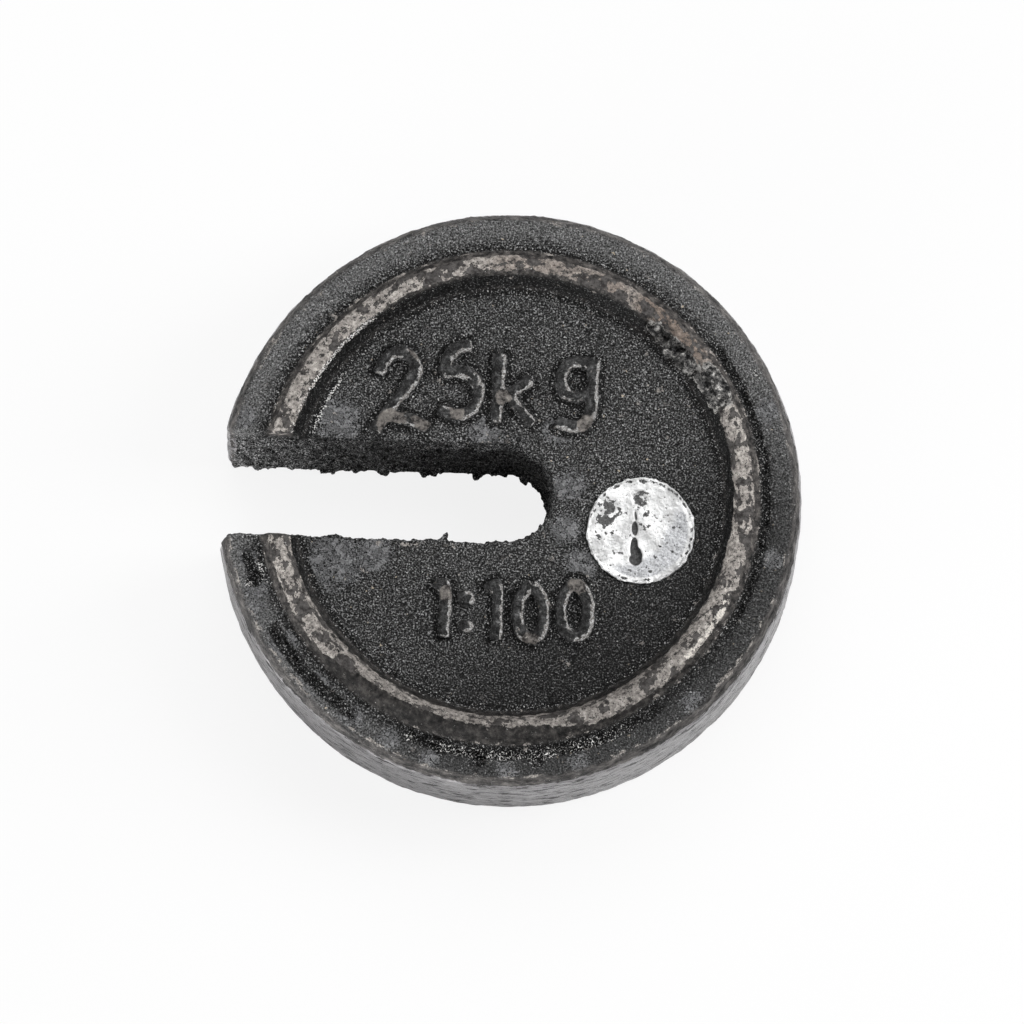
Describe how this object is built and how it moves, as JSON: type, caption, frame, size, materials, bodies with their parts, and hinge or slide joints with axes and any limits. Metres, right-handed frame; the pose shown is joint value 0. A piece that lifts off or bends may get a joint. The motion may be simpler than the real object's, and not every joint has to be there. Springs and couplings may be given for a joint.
{
  "type": "slotted scale weight",
  "caption": "Round cast iron counterpoise weight with a hanger slot, a raised ring round a recessed face, and a soft metal plug over its adjusting cavity.",
  "frame": {"origin": "where the disc's axis meets the flat base", "axes": "+Z is the disc's axis, from the base to the lettered face; the hanger slot runs along X and opens towards -X"},
  "size_m": [0.0545, 0.055, 0.015],
  "materials": {
    "painted_iron": "sand-cast iron under thin black paint, rubbed to bare grey-brown metal on the ring and the outer edge",
    "plug_metal": "hammered bright, with a burred rim and a chisel cut",
    "shot_metal": "dull grey"
  },
  "bodies": {
    "root": {"weight_casting": "painted_iron", "sealing_plug": "plug_metal", "adjusting_shot": "shot_metal"}
  },
  "joints": []
}
